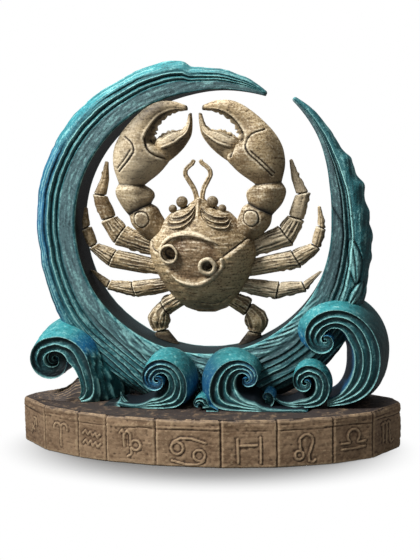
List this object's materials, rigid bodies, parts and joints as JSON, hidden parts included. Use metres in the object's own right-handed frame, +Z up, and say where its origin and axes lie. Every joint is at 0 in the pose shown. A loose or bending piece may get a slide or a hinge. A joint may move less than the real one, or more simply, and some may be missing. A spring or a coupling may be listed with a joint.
{
  "type": "crab statuette",
  "caption": "Cast and painted crab statuette: a crab with raised claws inside a crescent wave ring with curling waves, on a faceted oval plinth.",
  "frame": {"origin": "on the underside of the felt pad, under the middle of the crescent ring, where the statuette rests on a table", "axes": "+Z up, the crab's shelled back and the front of the waves face -Y, +X to the viewer's right"},
  "size_m": [0.1643, 0.0608, 0.1648],
  "materials": {
    "plinth_cast": "matte",
    "wave_cast": "satin",
    "crab_cast": "matte",
    "felt": "matte",
    "steel": "satin"
  },
  "bodies": {
    "root": {"plinth": "plinth_cast", "felt_pad": "felt", "ring_dowel_left": "steel", "ring_dowel_right": "steel", "crescent_ring": "wave_cast", "wave_left_outer": "wave_cast", "wave_centre_left": "wave_cast", "wave_centre_right": "wave_cast", "wave_right_small": "wave_cast", "wave_right_outer": "wave_cast", "wave_centre_bud": "wave_cast", "wave_low_left": "wave_cast", "wave_low_right": "wave_cast", "wave_spray": "plinth_cast", "carapace": "crab_cast", "belly_shell": "crab_cast", "emblem_upper": "crab_cast", "emblem_lower": "crab_cast", "brow_left": "crab_cast", "brow_right": "crab_cast", "eye_large_left": "crab_cast", "eye_large_right": "crab_cast", "eye_small_left": "crab_cast", "eye_small_right": "crab_cast", "antenna_left": "crab_cast", "antenna_right": "crab_cast", "arm_left": "crab_cast", "arm_right": "crab_cast", "wrist_left": "crab_cast", "wrist_right": "crab_cast", "palm_left": "crab_cast", "palm_right": "crab_cast", "finger_left": "crab_cast", "finger_right": "crab_cast", "leg_1_left": "crab_cast", "leg_1_right": "crab_cast", "leg_2_left": "crab_cast", "leg_2_right": "crab_cast", "leg_3_left": "crab_cast", "leg_3_right": "crab_cast", "leg_4_left": "crab_cast", "leg_4_right": "crab_cast", "arm_pin_left": "steel", "arm_pin_right": "steel", "foot_pin_left": "steel", "foot_pin_right": "steel"}
  },
  "joints": []
}
